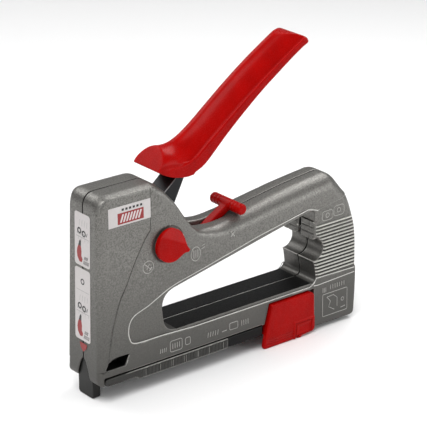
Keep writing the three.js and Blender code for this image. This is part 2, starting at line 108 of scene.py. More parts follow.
HALF_WIDTH = 17.2        # of the body at its lower edge
DRAFT_HEIGHT = 900       # the sides would meet at this height
PROUD_HALF_WIDTH = 19.4  # of the dial and the magazine head
SEAM_GAP = 0.1
SEAM_GROOVE = 0.22       # cut into each shell along the seam
SEAM_SHADE = 0.4         # painted shade darkens the seam up to this far to its sides
PAINTED_SHADE_LOW, PAINTED_SHADE_HIGH = 18, 88   # painted shade that darkens the castings towards the bottom fades out between these heights over the floor
EDGE_LIGHT_FRONT = 18          # the castings' edges are lighter from here to the rear, partly rubbed wear and partly a painted highlight
NOSE_CROWN = 1.8         # the nose block's top falls by this much at its sides
GAP = 0.3                # between parts that move past each other
RAIL_TOP = 5.2           # the body's underside over the magazine
RAIL_FRONT = 3.4
FOOT_FRONT = 165.2       # the body reaches down to the table from here to the rear
CHEEK_INNER = 14.2       # inner side of the magazine head's cheeks
CAVITY_HALF = 8.2        # of the mechanism's hollow
RECESS_DEPTH = 1.0       # of the panel round the finger opening
RIB_LOW, RIB_PITCH, RIB_COUNT = 26.6, 2.3, 15
RIB_SPAN = (RIB_LOW - 0.5 * RIB_PITCH, RIB_LOW + (RIB_COUNT - 0.5) * RIB_PITCH)
DIAL, DIAL_RADIUS = (52, 78), 10.5
LATCH_BAR, LATCH_BAR_RADIUS, LATCH_BAR_LENGTH = (109, 84.6), 3.4, 28.6
GRIP_HALF = 13
ARM_HALF = 7
SHEET_THICKNESS, INK_THICKNESS = 0.16, 0.02
STICKER_CLEARANCE = 0.04

FINE = 0.38   # sample spacing of the large castings
SMALL = 0.25   # and of the small pieces
STEPS_PER_TURN = 24                   # of a spring's wire and a printed ring


def half_width(z):
    """From the seam to the body's drafted side at a height."""
    return HALF_WIDTH * (1 - z / DRAFT_HEIGHT)


# ---- outlines in the side view

class Outline:
    """A line of points in a flat view. Each point also carries the radius of the edge there."""

    def __init__(self, u, v, edge=0.0):
        self.points = [(u, v, edge)]

    def line(self, u, v, edge=None):
        self.points.append((u, v, self.points[-1][2] if edge is None else edge))
        return self

    def lines(self, *pairs):
        for pair in pairs:
            self.line(*pair)
        return self

    def curve(self, control, u, v, edge=None, steps=10):
        """A curve that leaves towards a control point and arrives from it."""
        start = np.array(self.points[-1])
        end = np.array((u, v, start[2] if edge is None else edge))
        middle = np.array((*control, (start[2] + end[2]) / 2))
        for t in np.linspace(0, 1, steps + 1)[1:]:
            self.points.append(tuple((1 - t) ** 2 * start + 2 * t * (1 - t) * middle + t * t * end))
        return self

    def arc(self, centre, radius, start, end, steps=18):
        for angle in np.linspace(start, end, steps + 1):
            self.line(centre[0] + radius * math.cos(angle), centre[1] + radius * math.sin(angle))
        return self

    def through(self, *points, steps=6):
        """A smooth curve through points of (u, v) or (u, v, edge)."""
        knots = [np.array(self.points[-1])]
        for point in points:
            knots.append(np.array(point if len(point) == 3 else (*point, knots[-1][2]), float))
        knots = [knots[0], *knots, knots[-1]]
        for a, b, c, d in zip(knots, knots[1:], knots[2:], knots[3:]):
            for t in np.linspace(0, 1, steps + 1)[1:]:
                bend = 2 * b + (c - a) * t + (2 * a - 5 * b + 4 * c - d) * t ** 2
                self.points.append(tuple((bend + (3 * b - a - 3 * c + d) * t ** 3) / 2))
        return self


def polygon(*pairs):
    return Outline(*pairs[0]).lines(*pairs[1:])


def body_outline():
    rear = [(201.1, 12, 2.4), (201.5, 30, 2.4), (201.2, 45, 2.4), (200, 55, 3), (196.2, 71, 6),
            (192, 78, 8.5), (187.6, 84.2, 10)]
    saddle = [(150, 86.9, 10.4), (121, 82.2, 9.4), (104, 79.3, 8.2), (93, 78, 6.9), (84.7, 78.5, 5.6),
              (77, 79.7, 3.6), (72.5, 82.2, 2), (69, 85.6, 1.7), (63.8, 93.1, 2), (58, 102, 2.6),
              (50.7, 110.6, 3.6), (47, 114.2, 4.4)]
    outline = Outline(3.6, 0, 1.6).line(158, 0, 1).line(164, -8, 1.2).line(196, -8.4, 1.6)
    outline.curve((199.7, -8.4), 200.1, -4.6, 2.2).through(*rear).curve((183.4, 90), 178, 90, 10.4)
    outline.through(*saddle).curve((44.2, 117), 40.5, 117, 0.9).line(10.5, 117, 0.9)
    outline.curve((2.5, 117), 2.3, 108.5, 3.8).line(0, 5, 4)
    return outline.curve((0, 0), 3.6, 0, 1.6)


def finger_opening():
    opening = Outline(58, 22.1).line(163.9, 22.1).curve((167.6, 22.1), 167.6, 25.8)
    opening.lines((166.4, 33.5), (165.4, 36.3)).arc((166.3, 43.4), 7.1, -1.45, 0.95)
    opening.curve((167, 52.5), 166.9, 57).line(166.9, 66.5).curve((166.9, 71), 161, 69.8)
    opening.line(56.5, 48.6).curve((47.2, 46.6), 47.4, 37).line(47.9, 32)
    return opening.curve((48.5, 22.1), 58, 22.1)


def recess_outline():
    """The lip of the sunken panel round the finger opening and over the rear column."""
    lip = Outline(167.2, 24.9).curve((165, 20.3), 160, 20.3).line(70, 20.2)
    lip.through((47.5, 21.3), (26.8, 21.9), (22.2, 25.9), (21.8, 33.4), (25.7, 39.3), (36.7, 43.2),
                (50.5, 49.4), (58.9, 51.9))
    lip.lines((80, 56.2), (120, 65.1), (155, 72.4)).curve((161, 73), 168, 70)
    return lip.lines((197, 74.3), (206, 76), (206, 24.1))


def nose_panel():
    """The front of the nose block's side, which stands a little proud."""
    edge = Outline(-6, 10).line(5.6, 10)
    edge.through((6.9, 19.6), (8.6, 29.4), (11.3, 40.1), (15.5, 51.6), (20.7, 60.9), (25.9, 71.4),
                 (30.4, 79), (34.8, 85.9))
    return edge.lines((38.6, 90), (38.9, 97), (39.1, 130), (-6, 130))


def window_outline():
    window = Outline(4.4, 10.2).lines((18.4, 10.2), (21.6, 16.6), (12.5, 16.6))
    return window.curve((6, 16), 4.4, 10.2)


def nose_arch():
    """The narrow arch in the front face, drawn in y and z."""
    arch = Outline(-6.4, -2).line(6.4, -2).curve((5.6, 6.4), 2.6, 11.8).curve((1.4, 14.2), 0, 14.2)
    return arch.curve((-1.4, 14.2), -2.6, 11.8).curve((-5.6, 6.4), -6.4, -2)


CHEEK_NOTCH = polygon((124.8, RAIL_TOP), (128.6, 18.3), (FOOT_FRONT, 18.3), (FOOT_FRONT, 4.2),
                      (124.5, 4.2))
NOSE_CAVITY = polygon((4.4, 33.7), (42, 33.7), (42, 46.5), (46, 51.3), (60, 54.2), (62, 86), (58.5, 94),
                      (50.5, 104.5), (43, 113), (7.6, 113), (4.4, 105))
GRIP_CAVITY = polygon((112, 64.5), (156, 73.5), (156, 82.5), (122, 77), (112, 75))
REAR_CAVITY = polygon((171.5, -3.5), (195.8, -3.5), (197.2, 30), (195.4, 55), (190, 69), (182, 79),
                      (173, 77), (172.5, 56), (177.5, 51), (177.5, 38), (172, 33))
LEVER_SLOT = polygon((48, 101.4), (66, 116.5), (80, 116.5), (80, 83.5), (58, 83.5), (52, 92))
LATCH_SLOT = polygon((78.5, 64), (82.5, 63.2), (107, 80.2), (107, 92), (78.5, 92))


# ---- fields of distances

def distance(outline, u, v):
    """Signed distances to a closed outline, negative inside, and the edge radius at its nearest point."""
    points = np.array(outline.points)
    nearest = np.full(u.shape, np.inf, np.float32)
    edge = np.zeros(u.shape, np.float32)
    inside = np.zeros(u.shape, bool)
    for start, end in zip(points, np.roll(points, -1, axis=0)):
        run, rise, change = end - start
        length = run * run + rise * rise
        if length < 1e-9:
            continue
        along = np.clip(((u - start[0]) * run + (v - start[1]) * rise) / length, 0, 1)
        gap = (u - start[0] - along * run) ** 2 + (v - start[1] - along * rise) ** 2
        closer = gap < nearest
        nearest = np.where(closer, gap, nearest)
        edge = np.where(closer, start[2] + along * change, edge)
        if rise:
            crossing = start[0] + (v - start[1]) * run / rise
            inside ^= ((start[1] > v) != (end[1] > v)) & (u < crossing)
    return np.where(inside, -1, 1) * np.sqrt(nearest), edge


def rectangle(u, v, u_span, v_span):
    return np.maximum(np.maximum(u_span[0] - u, u - u_span[1]), np.maximum(v_span[0] - v, v - v_span[1]))


def circle(u, v, centre, radius):
    return np.hypot(u - centre[0], v - centre[1]) - radius


def meet(a, b, radius):
    """The overlap of two solids, with the outer edge between them rounded."""
    corner = np.hypot(np.maximum(a + radius, 0), np.maximum(b + radius, 0))
    return np.minimum(np.maximum(a, b), -radius) + corner


def cut(solid, tool, radius=0.4):
    return meet(solid, -tool, radius)


def join(a, b, radius=0.4):
    """Two solids as one, with a fillet between them."""
    return -meet(-a, -b, radius)


def ramp(distances, width):
    """From 0 well inside to 1 well outside, over a band of that width."""
    t = np.clip(distances / width + 0.5, 0, 1)
    return t * t * (3 - 2 * t)


class Samples:
    """Sample points that fill a node's box and a margin round it, in tool millimetres."""

    def __init__(self, node, step, margin=1.2):
        low, high = node_box(node)
        low, high = low - margin, high + margin
        x, y, z = (np.arange(a, b + step, step, dtype=np.float32) for a, b in zip(low, high))
        self.low, self.step = low, step
        self.x, self.z = np.meshgrid(x, z, indexing="ij")
        self.front_y, self.front_z = np.meshgrid(y, z, indexing="ij")
        self.y = y[None, :, None]
        self.off_seam = np.abs(self.y)
        self.deep_x, self.deep_z = x[:, None, None], z[None, None, :]

    def side(self, outline):
        return distance(outline, self.x, self.z)[0][:, None, :]

    def front(self, outline):
        return distance(outline, self.front_y, self.front_z)[0][None, :, :]

    def bore(self, centre, radius):
        return circle(self.x, self.z, centre, radius)[:, None, :]

    def block(self, x_span, z_span):
        return rectangle(self.x, self.z, x_span, z_span)[:, None, :]

    def near(self, shape, half):
        """A shape seen from the side, as far as a distance from the seam."""
        return np.maximum(shape, self.off_seam - half)

    def slab(self, inner, outer):
        """The two bands across the tool between two distances from the seam."""
        return np.maximum(inner - self.off_seam, self.off_seam - outer)


def add_object(name, data):
    made = bpy.data.objects.new(name, data)
    bpy.context.scene.collection.objects.link(made)
    return made


def surface(name, samples, field):
    """The closed surface where a field is zero, as a smooth-shaded object."""
    padded = np.pad(field.astype(np.float32), 1, constant_values=samples.step)
    volume = openvdb.FloatGrid(samples.step)
    volume.copyFromArray(padded)
    points, _, quads = volume.convertToPolygons(0.0, 0.0)
    mesh = bpy.data.meshes.new(name)
    mesh.from_pydata(to_frame((points - 1) * samples.step + samples.low), [], quads.tolist())
    mesh.shade_smooth()
    return add_object(name, mesh)


def tool_values(items, attribute):
    """An attribute of a mesh's items as columns x, y and z."""
    values = np.zeros(3 * len(items))
    items.foreach_get(attribute, values)
    return values.reshape(-1, 3)


def thinned(piece, share):
    """The same piece with that share of its faces, kept where the surface bends."""
    modifier = piece.modifiers.new("thin", "DECIMATE")
    modifier.ratio = share
    depsgraph = bpy.context.evaluated_depsgraph_get()
    mesh = bpy.data.meshes.new_from_object(piece.evaluated_get(depsgraph))
    piece.modifiers.clear()
    piece.data = mesh
    return piece


def repaint(piece, slot, x_span, z_span, off_seam=(0, 30), looks=None):
    """Gives one of a piece's materials to its faces in two mirrored blocks, if their normals pass
    looks()."""
    x, y, z = ((tool_values(piece.data.polygons, "center") - ORIGIN) / MM).T
    chosen = (x > x_span[0]) & (x < x_span[1]) & (z > z_span[0]) & (z < z_span[1])
    chosen &= (np.abs(y) >= off_seam[0]) & (np.abs(y) < off_seam[1])
    if looks:
        chosen &= looks(tool_values(piece.data.polygons, "normal"))
    for index in np.flatnonzero(chosen).tolist():
        piece.data.polygons[index].material_index = slot


def dress(piece, body, slot, finishes=(), node=None):
    """Gives a piece its finishes, or its slot's, the body that it rides and the node that it replaces."""
    for finish in finishes or [slot]:
        piece.data.materials.append(FINISHES[finish])
    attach(piece, body)
    if node:
        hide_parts(node)
    return piece


def moulded(name, node, body, slot, step, field, finishes=(), margin=1.2):
    """A piece in a node's place, from a field of distances at samples round that node."""
    samples = Samples(node, step, margin)
    return dress(surface(name, samples, field(samples)), body, slot, finishes, node)


# ---- materials

class Nodes:
    """The node tree of a material or world."""

    def __init__(self, owner, coordinates):
        owner.use_nodes = True
        self.owner, self.tree = owner, owner.node_tree
        self.place = self.node("ShaderNodeTexCoord").outputs[coordinates]
        self.parts = self.node("ShaderNodeSeparateXYZ", Vector=self.place).outputs

    def node(self, kind, **inputs):
        made = self.tree.nodes.new(kind)
        for key, value in inputs.items():
            self.set(made.inputs[key.replace("_", " ")], value)
        return made

    def set(self, socket, value):
        if isinstance(value, bpy.types.NodeSocket):
            self.tree.links.new(value, socket)
        else:
            socket.default_value = value

    def levels(self, value, low=0.3, high=0.7, bottom=0.0, top=1.0):
        """Spreads the numbers from low to high over bottom to top. Noise lies between the usual two."""
        node = self.node("ShaderNodeMapRange", Value=value, From_Min=low, From_Max=high, To_Min=bottom,
                         To_Max=top)
        return node.outputs["Result"]


class Finish(Nodes):
    """A material that is built from the object's own coordinates."""

    def __init__(self, name):
        super().__init__(bpy.data.materials.new(name), "Object")
        self.shader = self.tree.nodes["Principled BSDF"]

    def noise(self, size_mm, detail=3.0, stretch=None):
        """Noise whose grains are about that size, as a number near 0.5."""
        place = self.place
        if stretch:
            place = self.node("ShaderNodeMapping", Vector=place, Scale=stretch).outputs["Vector"]
        noise = self.node("ShaderNodeTexNoise", Vector=place, Scale=1 / (size_mm * MM), Detail=detail)
        return noise.outputs["Fac"]

    def math(self, operation, a, b=0.0):
        node = self.node("ShaderNodeMath")
        node.operation = operation
        self.set(node.inputs[0], a)
        self.set(node.inputs[1], b)
        return node.outputs["Value"]

    def mix(self, share, a, b):
        node = self.node("ShaderNodeMix")
        node.data_type = "RGBA"
        colours = [socket for socket in node.inputs if socket.type == "RGBA"]
        self.set(node.inputs["Factor"], share)
        for socket, colour in zip(colours, (a, b)):
            self.set(socket, (*colour, 1) if isinstance(colour, tuple) else colour)
        return next(socket for socket in node.outputs if socket.type == "RGBA")

    def varied(self, value, colour, low, high=1.0):
        """A colour that noise takes from low to high times itself."""
        return self.mix(self.levels(value), scaled(colour, low), scaled(colour, high))

    def edges(self, low, high, top=1.0):
        """Rises to the top along outer edges, and is 0 elsewhere."""
        return self.levels(self.node("ShaderNodeNewGeometry").outputs["Pointiness"], low, high, 0.0, top)

    def bump(self, height, depth_mm, strength):
        bump = self.node("ShaderNodeBump", Height=height, Strength=strength, Distance=depth_mm * MM)
        self.set(self.shader.inputs["Normal"], bump.outputs["Normal"])

    def surface(self, colour, roughness, metallic=0.0, specular=0.5):
        values = {"Base Color": (*colour, 1) if isinstance(colour, tuple) else colour,
                  "Roughness": roughness, "Metallic": metallic, "Specular IOR Level": specular}
        for key, value in values.items():
            self.set(self.shader.inputs[key], value)
        return self.owner


def scaled(colour, factor):
    return tuple(min(1.0, factor * part) for part in colour)


def cast_metal(name, dark, light, gain=2.2, seam=SEAM_SHADE):
    """Bead-blasted die-cast aluminium: a speckle of fine grains, with edges lighter, partly rubbed wear and
    partly a painted highlight, painted shade along the seam and in creases, and painted shade that darkens
    it towards the lower edge."""
    finish = Finish(name)
    grain = finish.noise(0.9, 4)
    cloud = finish.noise(22, 2)
    speckled = finish.mix(finish.levels(grain), dark, light)
    middle = tuple((a + b) / 2 for a, b in zip(dark, light))
    clouded = finish.mix(finish.levels(cloud, top=0.35), speckled, middle)
    # painted shade: darker towards the lower edge, fading out between the two heights
    above_painted_shade = finish.levels(finish.parts["Z"], PAINTED_SHADE_LOW * MM, PAINTED_SHADE_HIGH * MM)
    with_bottom_shade = finish.mix(above_painted_shade, scaled(middle, 0.5), clouded)
    # edges lighter behind the front: partly rubbed wear, partly a painted highlight
    edge_light_start = float(ORIGIN[0]) + EDGE_LIGHT_FRONT * MM
    edge_light_allowed = finish.levels(finish.parts["X"], edge_light_start, edge_light_start + 3 * MM)
    edge_wear_and_highlight = finish.math("MULTIPLY", finish.edges(0.515, 0.56, 0.85), edge_light_allowed)
    worn_and_highlit = finish.mix(edge_wear_and_highlight, with_bottom_shade, scaled(light, gain))
    # painted shade along the seam and in creases
    off_seam = finish.math("ABSOLUTE", finish.parts["Y"])
    off_seam = finish.levels(off_seam, seam * MM, (seam + 0.15) * MM)
    unshaded = finish.math("MULTIPLY", off_seam, finish.edges(0.44, 0.485))
    colour = finish.mix(unshaded, scaled(dark, 0.2), worn_and_highlit)
    finish.bump(grain, 0.06, 0.55)
    return finish.surface(colour, finish.levels(grain, bottom=0.5, top=0.36), metallic=0.72)


def ribbed_metal(name, dark, light):
    """The same casting with ribs, with a painted highlight along each ridge and painted shade in each
    valley.
    """
    finish = Finish(name)
    grain = finish.noise(0.9, 4)
    rise = finish.math("SUBTRACT", finish.parts["Z"], ORIGIN[2] + RIB_LOW * MM)
    from_ridge = finish.math("PINGPONG", rise, RIB_PITCH / 2 * MM)
    ridge = finish.levels(from_ridge, 0.14 * RIB_PITCH * MM, 0.34 * RIB_PITCH * MM, 1.0, 0.0)
    # painted highlight on each ridge, painted shade in each valley
    colour = finish.mix(ridge, dark, finish.varied(grain, light, 0.7))
    finish.bump(grain, 0.04, 0.5)
    return finish.surface(colour, finish.levels(grain, bottom=0.5, top=0.36), metallic=0.72)


def gloss_plastic(name, colour, roughness=0.26):
    """Glossy moulding with a faint flow pattern and a painted highlight along its edges."""
    finish = Finish(name)
    flow = finish.noise(7, 2, stretch=(1, 1, 0.4))
    shade = finish.varied(flow, colour, 0.82)
    # a painted highlight along the edges
    edge_highlight = tuple(min(1.0, 1.5 * c + 0.03) for c in colour)
    shade = finish.mix(finish.edges(0.52, 0.58, 0.6), shade, edge_highlight)
    finish.bump(finish.noise(1.4, 2), 0.012, 0.35)
    fine = finish.levels(finish.noise(0.6, 2), bottom=roughness - 0.03, top=roughness + 0.05)
    return finish.surface(shade, fine, specular=0.07)


def coated_steel(name, colour, worn_and_highlit, roughness=0.36, low=0.53, high=0.58):
    """Painted or blackened steel, lighter along its edges, partly worn and partly a painted highlight."""
    finish = Finish(name)
    paint = finish.varied(finish.noise(1.1, 3), colour, 1.0, 1.5)
    edge = finish.edges(low, high)
    finish.bump(finish.noise(0.7, 3), 0.02, 0.4)
    # edges lighter: partly wear, partly a painted highlight
    shade = finish.mix(edge, paint, worn_and_highlit)
    return finish.surface(shade, finish.levels(edge, 0, 1, roughness, 0.3), metallic=0.55)


def ground_steel(name, colour, stretch=(1, 1, 0.06), roughness=0.28):
    """Ground steel, with fine scratches along one direction."""
    finish = Finish(name)
    scratches = finish.noise(0.5, 5, stretch)
    shade = finish.varied(scratches, colour, 0.7)
    finish.bump(scratches, 0.01, 0.4)
    fine = finish.levels(scratches, bottom=roughness + 0.12, top=roughness)
    return finish.surface(shade, fine, metallic=1.0)


def matt_sheet(name, colour, roughness=0.45, change=0.06):
    """Rubber, vinyl or printing ink with a slightly uneven surface."""
    finish = Finish(name)
    uneven = finish.noise(1.6, 3)
    shade = finish.varied(uneven, colour, 1 - change)
    finish.bump(finish.noise(0.8, 2), 0.008, 0.3)
    return finish.surface(shade, finish.levels(uneven, bottom=roughness - 0.04, top=roughness + 0.06))


# The record's material slots, then other finishes, for parts of pieces, raised marks and screws. Among the
# others are a near-black cast for painted shade, a ribbed cast with a painted highlight on the ridges and
# painted shade in the valleys, and a light cast for painted highlight lines.
FINISHES = {name: make(name, *values) for name, make, *values in (
    ("cast_housing", cast_metal, (0.105, 0.102, 0.094), (0.235, 0.229, 0.214)),
    ("cast_rail", cast_metal, (0.04, 0.039, 0.037), (0.12, 0.118, 0.11), 4.5),
    ("red_plastic", gloss_plastic, (0.35, 0.0015, 0.001)),
    ("black_steel", coated_steel, (0.004, 0.004, 0.005), (0.5, 0.49, 0.49), 0.36, 0.515, 0.55),
    ("dark_steel", coated_steel, (0.009, 0.009, 0.008), (0.07, 0.07, 0.07), 0.42),
    ("bright_steel", ground_steel, (0.55, 0.55, 0.56)),
    ("spring_steel", ground_steel, (0.42, 0.42, 0.44), (1, 1, 1), 0.32),
    ("bumper_rubber", matt_sheet, (0.02, 0.02, 0.02), 0.8, 0.3),
    ("label_vinyl", matt_sheet, (0.54, 0.51, 0.505), 0.4),
    ("cast_shaded", cast_metal, (0.004, 0.004, 0.004), (0.014, 0.014, 0.014)),
    ("cast_ribbed", ribbed_metal, (0.02, 0.02, 0.018), (0.62, 0.61, 0.57)),
    ("cast_lip", cast_metal, (0.2, 0.197, 0.187), (0.36, 0.355, 0.34), 1.9, -1),
    ("cast_rubbed", cast_metal, (0.1, 0.098, 0.092), (0.2, 0.196, 0.186), 2.0),
    ("screw_steel", coated_steel, (0.05, 0.05, 0.05), (0.3, 0.3, 0.3), 0.34),
    ("black_ink", matt_sheet, (0.02, 0.018, 0.018), 0.4, 0.3),
    ("red_ink", matt_sheet, (0.28, 0.012, 0.012), 0.4, 0.2),
    ("grey_ink", matt_sheet, (0.34, 0.33, 0.33), 0.45, 0.2),
    ("white_ink", matt_sheet, (0.62, 0.56, 0.56), 0.45, 0.1),
)}

for part in frame["record"]["subparts"]:
    carried = frame["nodes"][part["node"]]
    carried.data.materials.clear()
    carried.data.materials.append(FINISHES[part["material_slot"]])


# ---- the two shells

def side_height(x, z, left):
    """How far the body's side face stands from the seam."""
    height = half_width(z)
    outer = distance(body_outline(), x, z)[0]
    opening = distance(finger_opening(), x, z)[0]
    height -= RECESS_DEPTH * (1 - ramp(distance(recess_outline(), x, z)[0], 0.5))
    panel = distance(nose_panel(), x, z)[0]
    height -= 0.25 * ramp(panel, 0.5) + 0.4 * (1 - ramp(np.abs(panel - 0.5) - 0.35, 0.4))
    phase = (z - RIB_LOW) / RIB_PITCH
    ridge = 1.45 * np.abs(2 * (phase % 1) - 1) - 0.45
    ribbed = np.maximum(rectangle(x, z, (120, 220), RIB_SPAN), np.maximum(outer + 1.6, 165 - x))
    height += RECESS_DEPTH * ridge * (1 - ramp(ribbed, 0.6)) * ramp(opening - 0.9, 0.6)
    if left:
        height -= 0.5 * (1 - ramp(circle(x, z, DIAL, DIAL_RADIUS + 0.7), 0.6))
    return height


def cavities(s):
    """The hollows that hold the mechanism, round the screws' posts."""
    hollow = s.near(s.side(NOSE_CAVITY), CAVITY_HALF)
    for outline, half in ((GRIP_CAVITY, 10), (REAR_CAVITY, 12.5)):
        hollow = np.minimum(hollow, s.near(s.side(outline), half))
    for screw in SCREWS:
        hollow = cut(hollow, s.bore(screw, 4.6), 0.5)
    seat_rib = np.maximum(s.block((35, 46), (82.3, 84.3)), s.slab(5, CAVITY_HALF + 1))
    return cut(hollow, seat_rib, 0.3)


def thumb_pad(s):
    """The raised pad with a cross-hatched face at the top of the rear column's inner side."""
    pad = meet(s.block((165.9, 170), (50.4, 62.2)), s.slab(1.6, 14.8), 1.6)
    pad = cut(pad, np.maximum(s.slab(9.6, 10.4), s.deep_x - 166.3), 0.25)
    for z in (54.2, 58.2):
        pad = cut(pad, np.maximum(np.abs(s.deep_z - z) - 0.4, s.deep_x - 166.3), 0.25)
    return pad


def shell_field(s, left):
    outline, edge = distance(body_outline(), s.x, s.z)
    depth = np.maximum(outline, -distance(finger_opening(), s.x, s.z)[0])
    groove = SEAM_GAP / 2 + SEAM_GROOVE * ramp(depth + 1.2, 0.8)[:, None, :]
    height = side_height(s.x, s.z, left)
    nose_top = ramp(s.z - 110, 9) * (1 - ramp(s.x - 46, 12))
    outline = outline[:, None, :] + NOSE_CROWN * nose_top[:, None, :] * ramp(s.off_seam - 13, 8)
    solid = meet(outline, s.off_seam - height[:, None, :], edge[:, None, :])
    solid = cut(solid, s.side(finger_opening()), 1.0)
    solid = join(solid, thumb_pad(s), 0.4)
    solid = cut(solid, s.near(s.block((165.5, 171.5), (56, 66.5)), 1), 0.4)
    solid = cut(solid, s.block((RAIL_FRONT, FOOT_FRONT), (-30, RAIL_TOP)), 0.5)
    solid = cut(solid, np.maximum(s.block((RAIL_FRONT, 123), (0, RAIL_TOP + 0.6)), 14 - s.off_seam), 0.2)
    solid = cut(solid, np.maximum(s.side(CHEEK_NOTCH), CHEEK_INNER - s.off_seam), 0.4)
    solid = cut(solid, cavities(s), 0.4)
    solid = cut(solid, s.near(s.block((7.2, 160), (RAIL_TOP - 3, 16.8)), CAVITY_HALF))
    solid = cut(solid, s.near(s.block((1.2, 7.3), (-4, 22.4)), 7.9), 0.2)
    solid = cut(solid, s.near(s.block((2.8, 7.3), (20, 96.5)), 6.8), 0.2)
    solid = cut(solid, np.maximum(s.front(nose_arch()), s.deep_x - 1.3), 0.5)
    solid = cut(solid, s.side(window_outline()), 0.5)
    solid = cut(solid, s.near(s.side(LEVER_SLOT), 7.8), 0.6)
    solid = cut(solid, s.near(s.side(LATCH_SLOT), 3.3), 0.7)
    solid = cut(solid, s.near(s.bore(LEVER_PIVOT, 3.1), 13.5))
    solid = cut(solid, s.near(s.bore(LATCH_PIVOT, 1.7), 8))
    ear = join(s.bore(MAGAZINE_PIVOT, 2.2), s.block((3.9, 8.1), (MAGAZINE_PIVOT[1], RAIL_TOP + 1)))
    solid = join(solid, np.maximum(ear, s.slab(9, 12)), 0.3)
    solid = cut(solid, np.maximum(s.bore(MAGAZINE_PIVOT, 1.3), s.slab(8.5, 12.5)), 0.2)
    if left:
        solid = cut(solid, np.maximum(s.bore(DIAL, 4.15), s.y + 5))
        solid = cut(solid, np.maximum(s.bore(node_centre("detent_ball"), 1.8), s.y + 10))
        for screw in SCREWS:
            solid = cut(solid, np.maximum(s.bore(screw, 1.9), -10 - s.y))
        return meet(solid, s.y + groove, 0.25)
    for screw in SCREWS:
        solid = cut(solid, s.bore(screw, 2))
        solid = cut(solid, np.maximum(s.bore(screw, 3.7), 12.4 - s.y), 0.5)
    return meet(solid, groove - s.y, 0.25)


SHELL_FINISHES = ["cast_housing", "cast_shaded", "cast_ribbed", "cast_lip"]
PAINTED_SHADE, RIBBED, PAINTED_HIGHLIGHT = 1, 2, 3   # places in that list: painted shade, painted light and shade on the ribs, painted highlight. The channel's list has the painted shade there too
BAR_TOP = (57, 163.6), (19, 23.4)

for left, node in ((True, "left_housing"), (False, "right_housing")):
    samples = Samples(node, FINE)
    shell = thinned(surface(node.replace("housing", "shell"), samples, shell_field(samples, left)), 0.42)
    dress(shell, "frame", "cast_housing", SHELL_FINISHES, node)
    # painted highlight along the seam on the bar's top
    repaint(shell, PAINTED_HIGHLIGHT, *BAR_TOP, off_seam=(0, 0.6))
    # painted shade on the bar's top face under the grip
    repaint(shell, PAINTED_SHADE, *BAR_TOP, looks=lambda normals: normals[:, 2] > 0.8)
    # painted shade inside the window
    repaint(shell, PAINTED_SHADE, (4, 22.4), (9.6, 17.2), off_seam=(0, 16.2))
    # painted highlight on the ribs' ridges and painted shade in their valleys
    repaint(shell, RIBBED, (164.5, 204), RIB_SPAN, off_seam=(14.9, 30),
            looks=lambda normals: np.abs(normals[:, 1]) > 0.5)


# ---- raised marks on the castings

def wire(name, runs, radius, resolution):
    """A curve of round wire. Each run is a list of points in tool millimetres, closed or open."""
    curve = bpy.data.curves.new(name, "CURVE")
    curve.dimensions = "3D"
    curve.bevel_depth = radius * MM
    curve.bevel_resolution = resolution
    curve.use_fill_caps = True
    for points, closed in runs:
        spline = curve.splines.new("POLY")
        spline.points.add(len(points) - 1)
        spline.use_cyclic_u = closed
        for point, place in zip(spline.points, points):
            point.co = (*to_frame(place), 1)
    return curve


# Raised marks take a cast finish whose edges are lighter, partly rubbed wear and partly a painted highlight.
def relief(name, strokes, radius=0.3, left=True, lift=0.0, finish="cast_rubbed"):
    """Raised lines on a side of the body. Each stroke is a list of (x, z) points, closed or open."""
    runs = []
    for points, closed in strokes:
        x, z = np.array(points).T
        heights = side_height(x, z, left) + lift
        runs.append((np.column_stack((x, -heights if left else heights, z)), closed))
    dress(add_object(name, wire(name, runs, radius, 2)), "frame", "cast_housing", [finish])


def stroke(*points):
    return points, False


def ring_stroke(x, z, radius, flat=1.0):
    angles = np.linspace(0, 2 * math.pi, 28, endpoint=False)
    return [(x + radius * math.cos(a), z + flat * radius * math.sin(a)) for a in angles], True


def frame_stroke(x_span, z_span, corner=1.2):
    """A rectangle with rounded corners."""
    x0, x1 = x_span[0] + corner, x_span[1] - corner
    z0, z1 = z_span[0] + corner, z_span[1] - corner
    points = []
    for quarter, (x, z) in enumerate(((x1, z1), (x0, z1), (x0, z0), (x1, z0))):
        for step in range(5):
            angle = (quarter + step / 4) * math.pi / 2
            points.append((x + corner * math.cos(angle), z + corner * math.sin(angle)))
    return points, True


def bars(x, z, count, pitch, height, lean=0.0):
    """A row of short upright strokes."""
    return [stroke((x + k * pitch, z), (x + k * pitch + lean, z + height)) for k in range(count)]


low_power = [ring_stroke(36.7, 67.4, 3.8), stroke((34.4, 69.6), (39, 65.2)),
             stroke((35.6, 66), (37.6, 69.4)), stroke((37.4, 64.9), (39.4, 66.8))]
high_power = [ring_stroke(71.8, 66.5, 3.5, flat=1.25), *bars(70.3, 64, 3, 1.5, 5),
              stroke((76.2, 68.6), (78.8, 69.4)), stroke((76.8, 70.6), (79, 71.1))]
hand_mark = [stroke((98.2, 73.8), (101.6, 70.2)), stroke((98.6, 70.4), (101.8, 73.4))]
badge = [frame_stroke((172.5, 181.2), (61.4, 67.6), 2), frame_stroke((182, 190.6), (62.4, 69), 2),
         ring_stroke(176.8, 64.5, 1.4), ring_stroke(186.2, 65.8, 1.4)]
data_panel = [*bars(172.6, 13.4, 3, 1.2, 3.2), *bars(179, 14.4, 7, 1.9, 2.8),
              frame_stroke((172.4, 193), (-3, 12), 0.8),
              stroke((176, 9.5), (181.5, 9.9), (184.6, 7.2), (184.6, 1.4)),
              stroke((176, 9.5), (179, 6.2), (177.4, 2.6), (182.2, -0.4)),
              ring_stroke(189.2, 5, 1.1), stroke((187.6, -0.6), (191.4, -0.2))]
